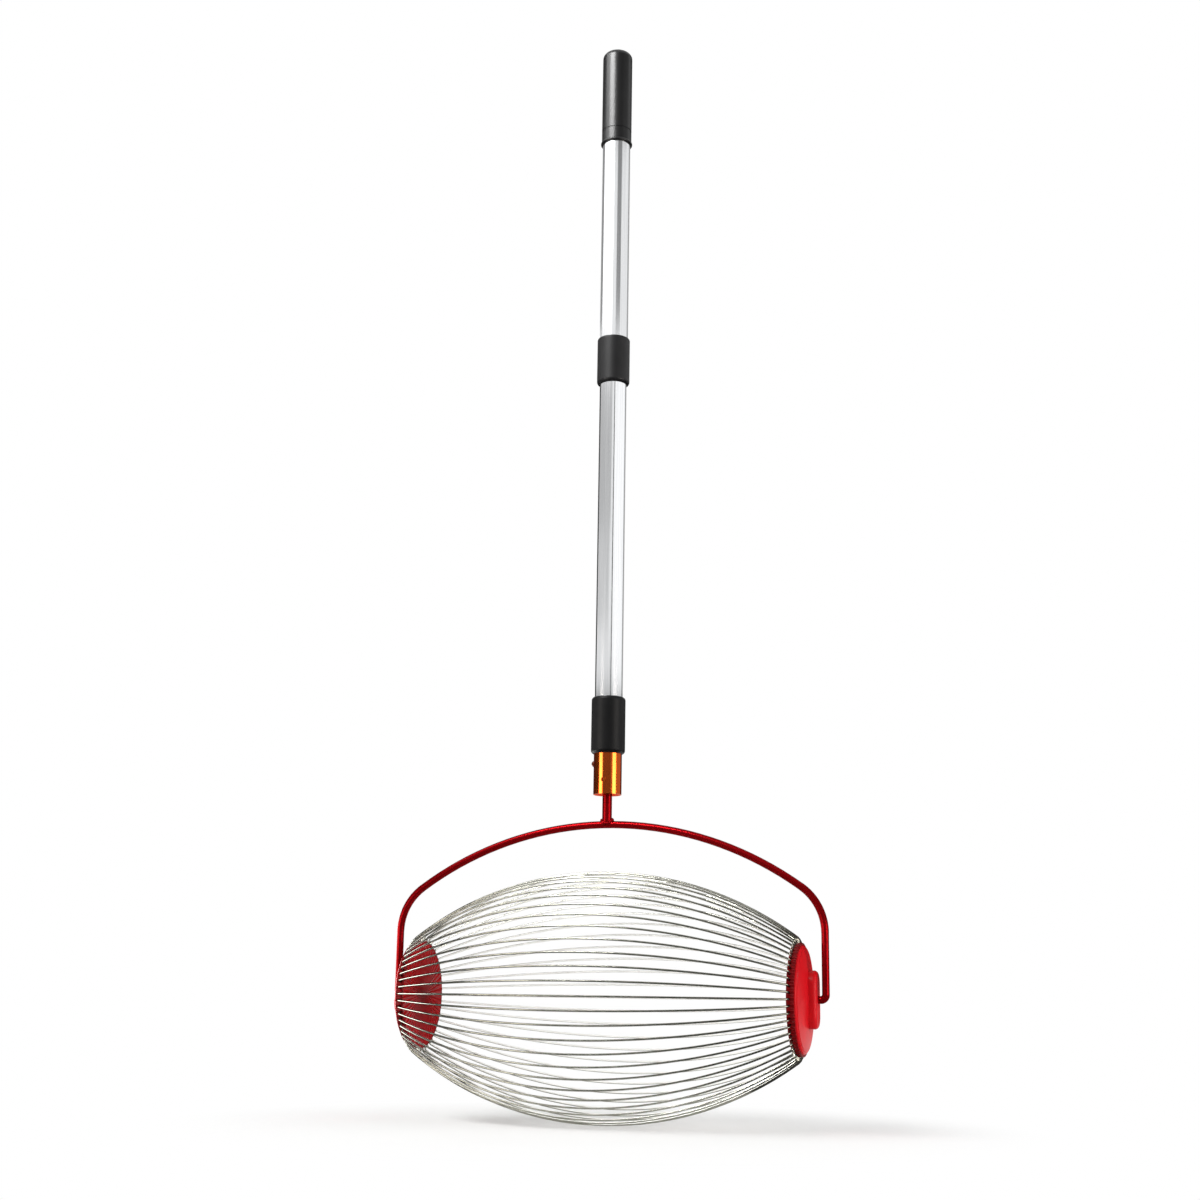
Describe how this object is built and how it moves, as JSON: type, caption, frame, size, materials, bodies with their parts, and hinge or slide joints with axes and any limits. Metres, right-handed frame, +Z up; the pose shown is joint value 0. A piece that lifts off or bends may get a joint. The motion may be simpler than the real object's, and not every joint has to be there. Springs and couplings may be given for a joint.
{
  "type": "rolling nut gatherer",
  "caption": "Barrel cage of spring wires that rolls between two red hubs on a rod yoke, below a telescopic pole with twist locks and a grip.",
  "frame": {"origin": "middle of the bounding box at floor level, under the cage's lowest wire", "axes": "+Z up the pole, +X along the cage's axis towards its right hub, +Y away from the user's side"},
  "size_m": [0.3662, 0.2, 0.9462],
  "materials": {
    "spring_steel": "drawn spring wire",
    "hub_disc_plastic": "deep red moulding",
    "hub_cover_plastic": "bright red moulding",
    "yoke_paint": "gloss dark red paint on steel rod",
    "orange_anodised": "orange anodised",
    "zinc_steel": "zinc plated",
    "button_steel": "bronze plated",
    "tube_aluminium": "bright drawn",
    "bush_plastic": "black moulding",
    "collet_plastic": "natural nylon",
    "collar_plastic": "black satin moulding",
    "grip_vinyl": "black satin vinyl"
  },
  "bodies": {
    "yoke": {"yoke_bow": "yoke_paint", "yoke_stem": "yoke_paint", "stem_weld": "yoke_paint", "coupler_tube": "orange_anodised", "coupler_plug": "orange_anodised", "plug_rivet": "button_steel", "stem_nut": "zinc_steel", "retaining_rings": "zinc_steel", "pivot_washers": "zinc_steel", "lower_tube": "tube_aluminium", "lower_tube_bush": "bush_plastic", "button_spring": "zinc_steel"},
    "button": {"snap_button": "button_steel"},
    "cage": {"spring_wires_1": "spring_steel", "spring_wires_2": "spring_steel", "spring_wires_3": "spring_steel", "spring_wires_4": "spring_steel", "spring_wires_5": "spring_steel", "spring_wires_6": "spring_steel", "spring_wires_7": "spring_steel", "spring_wires_8": "spring_steel", "hub_disc_left": "hub_disc_plastic", "hub_disc_right": "hub_disc_plastic", "hub_cover_left": "hub_cover_plastic", "hub_cover_right": "hub_cover_plastic"},
    "middle_pole": {"middle_tube": "tube_aluminium", "lower_collet": "collet_plastic", "middle_tube_bush": "bush_plastic"},
    "lower_lock": {"lower_collar": "collar_plastic"},
    "upper_pole": {"upper_tube": "tube_aluminium", "hand_grip": "grip_vinyl", "upper_collet": "collet_plastic"},
    "upper_lock": {"upper_collar": "collar_plastic"}
  },
  "joints": [
    {"name": "cage_spin", "type": "hinge", "parent": "yoke", "child": "cage", "pos_m": [0, 0, 0.1], "axis": [1, 0, 0], "continuous": true},
    {"name": "button_press", "type": "slide", "parent": "yoke", "child": "button", "axis": [1, 0, 0], "range_m": [0, 0.003], "stiffness_N_per_m": 1000, "springref_m": -0.002, "deforming": ["button_spring"]},
    {"name": "lower_extension", "type": "slide", "parent": "yoke", "child": "middle_pole", "axis": [0, 0, 1], "range_m": [0, 0.31]},
    {"name": "lower_lock_turn", "type": "hinge", "parent": "middle_pole", "child": "lower_lock", "pos_m": [0, 0, 0.32], "axis": [0, 0, 1], "range_deg": [0, 90]},
    {"name": "upper_extension", "type": "slide", "parent": "middle_pole", "child": "upper_pole", "axis": [0, 0, 1], "range_m": [-0.21, 0.035]},
    {"name": "upper_lock_turn", "type": "hinge", "parent": "upper_pole", "child": "upper_lock", "pos_m": [0, 0, 0.645], "axis": [0, 0, 1], "range_deg": [0, 90]}
  ]
}
